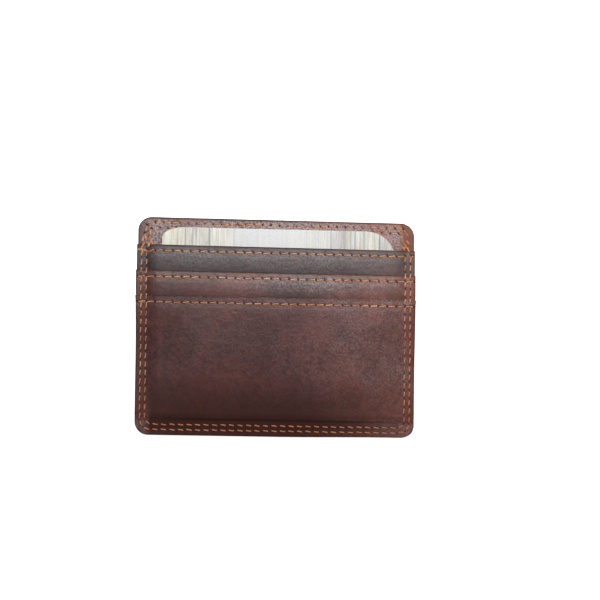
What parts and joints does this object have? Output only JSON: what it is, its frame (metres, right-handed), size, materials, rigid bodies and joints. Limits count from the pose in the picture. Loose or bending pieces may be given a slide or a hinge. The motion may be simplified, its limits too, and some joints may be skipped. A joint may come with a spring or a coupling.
{
  "type": "minimalist wallet",
  "caption": "Slim leather card wallet with stepped card pockets on the front, a cash pocket, a back slip pocket and a printed card that slides out",
  "frame": {"origin": "middle of the flat back face, which the wallet rests on", "axes": "+X along the pocket mouths to the right, +Y up to the pocket mouths, +Z out of the front face"},
  "size_m": [0.103, 0.08, 0.0073],
  "materials": {
    "leather": "oily pull-up leather, dark reddish brown, satin",
    "lining": "thin brown lining cloth",
    "thread": "tan waxed sewing thread",
    "card": "pale wood-grain print under clear plastic"
  },
  "bodies": {
    "wallet": {"back_pocket_panel": "leather", "back_panel": "leather", "back_lining": "lining", "front_lining": "lining", "front_panel": "leather", "pocket_a_strip": "leather", "pocket_b_strip": "leather", "pocket_c_panel": "leather", "pocket_a_lining": "lining", "pocket_b_lining": "lining", "pocket_a_foot_thread": "thread", "pocket_b_foot_thread": "thread", "seam_outer_needle_thread": "thread", "seam_inner_needle_thread": "thread", "front_band_outer_thread": "thread", "front_band_inner_thread": "thread", "pocket_a_mouth_thread": "thread", "pocket_b_mouth_thread": "thread", "pocket_c_mouth_thread": "thread", "seam_outer_bobbin_thread": "thread", "seam_inner_bobbin_thread": "thread", "back_band_outer_thread": "thread", "back_band_inner_thread": "thread", "back_pocket_mouth_thread": "thread"},
    "card": {"insert_card": "card"}
  },
  "joints": [
    {"name": "card_slide", "type": "slide", "parent": "wallet", "child": "card", "axis": [0, 1, 0], "range_m": [0, 0.06]}
  ]
}
